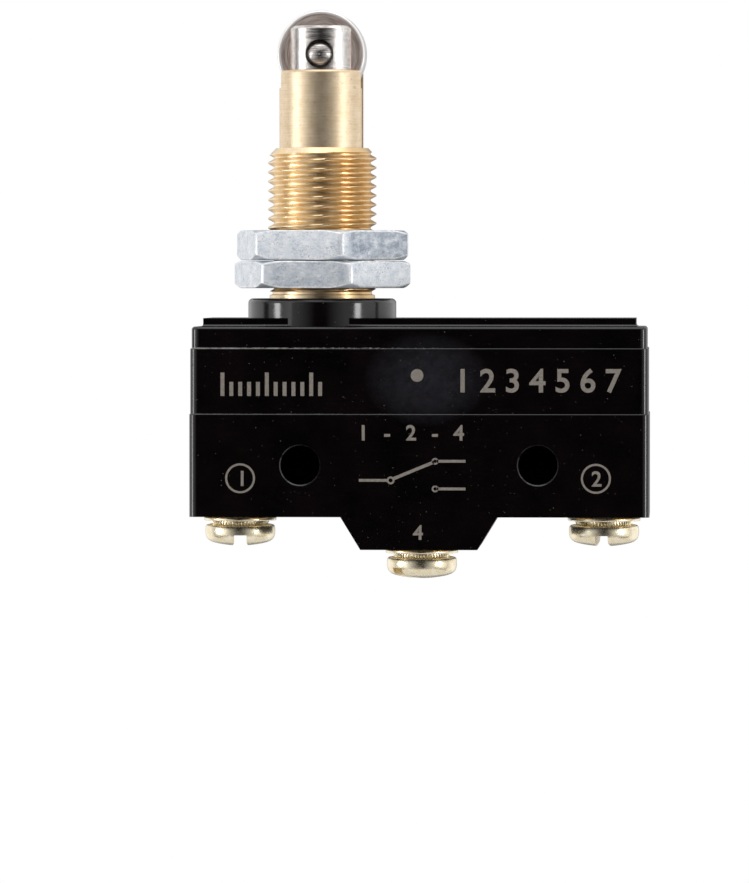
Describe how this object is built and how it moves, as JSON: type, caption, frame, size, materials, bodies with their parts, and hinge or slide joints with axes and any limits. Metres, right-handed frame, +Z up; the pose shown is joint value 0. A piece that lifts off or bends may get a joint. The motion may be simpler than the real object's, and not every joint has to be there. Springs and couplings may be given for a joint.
{
  "type": "snap-action limit switch",
  "caption": "Snap-action switch with a black moulded case, a threaded panel bushing with nuts, a spring-loaded cross-roller plunger and screw terminals underneath.",
  "frame": {"origin": "midway between the centres of the two mounting holes, at half the depth of the case", "axes": "+X along the case towards the normally closed terminal, +Y along the mounting holes to the back face, +Z up along the plunger to the roller"},
  "size_m": [0.0492, 0.019, 0.0613],
  "materials": {
    "phenolic": "glossy black moulded phenolic",
    "turned_brass": "turned, bright",
    "zinc_plated_steel": "bluish zinc plate",
    "nickel_plate": "bright nickel plate",
    "turned_steel": "turned, satin",
    "spring_steel": "plain spring steel",
    "terminal_brass": "plated brass strip",
    "yellow_plate": "bright pale yellow plate",
    "spring_bronze": "rolled spring bronze",
    "contact_silver": "silver alloy"
  },
  "bodies": {
    "case": {"case_base": "phenolic", "case_frame": "phenolic", "top_cover": "phenolic", "panel_bushing": "turned_brass", "guide_key": "spring_steel", "common_terminal": "terminal_brass", "normally_open_terminal": "terminal_brass", "normally_closed_terminal": "terminal_brass", "common_washer": "yellow_plate", "normally_open_washer": "yellow_plate", "normally_closed_washer": "yellow_plate", "common_lock_washer": "yellow_plate", "normally_open_lock_washer": "yellow_plate", "normally_closed_lock_washer": "yellow_plate", "common_screw": "yellow_plate", "normally_open_screw": "yellow_plate", "normally_closed_screw": "yellow_plate", "tension_bracket": "terminal_brass", "anchor_screw": "yellow_plate", "normally_closed_contact": "contact_silver", "normally_open_contact": "contact_silver"},
    "roller_plunger": {"plunger_sleeve": "turned_brass", "roller_fork": "nickel_plate", "roller_pin": "nickel_plate"},
    "roller_wheel": {"roller": "turned_steel"},
    "inner_plunger": {"pin_plunger": "phenolic", "spring_seat": "turned_brass", "overtravel_spring": "spring_steel"},
    "blade": {"snap_blade": "spring_bronze", "moving_contact": "contact_silver"},
    "lower_panel_nut": {"lower_nut": "zinc_plated_steel"},
    "upper_panel_nut": {"upper_nut": "zinc_plated_steel"}
  },
  "joints": [
    {"name": "plunger_slide", "type": "slide", "parent": "case", "child": "roller_plunger", "axis": [0, 0, -1], "range_m": [0, 0.00395], "stiffness_N_per_m": 500, "springref_m": -0.005, "deforming": ["overtravel_spring"]},
    {"name": "roller_spin", "type": "hinge", "parent": "roller_plunger", "child": "roller_wheel", "pos_m": [-0.01078, 0, 0.0441], "axis": [0.0349, 0.9994, 0], "continuous": true},
    {"name": "inner_plunger_slide", "type": "slide", "parent": "case", "child": "inner_plunger", "axis": [0, 0, -1], "range_m": [0, 0.0006]},
    {"name": "blade_swing", "type": "hinge", "parent": "case", "child": "blade", "pos_m": [-0.0191, 0, 0.00799], "axis": [0, 1, 0], "range_deg": [0, 0.843]},
    {"name": "lower_nut_turn", "type": "hinge", "parent": "case", "child": "lower_panel_nut", "pos_m": [-0.01078, 0, 0.02035], "axis": [0, 0, 1], "continuous": true},
    {"name": "upper_nut_turn", "type": "hinge", "parent": "case", "child": "upper_panel_nut", "pos_m": [-0.01078, 0, 0.0236], "axis": [0, 0, 1], "continuous": true}
  ],
  "couplings": [
    {"joint": "inner_plunger_slide", "follows": "plunger_slide", "ratio": 0.15},
    {"joint": "blade_swing", "follows": "plunger_slide", "rad_per_m": 3.72}
  ]
}
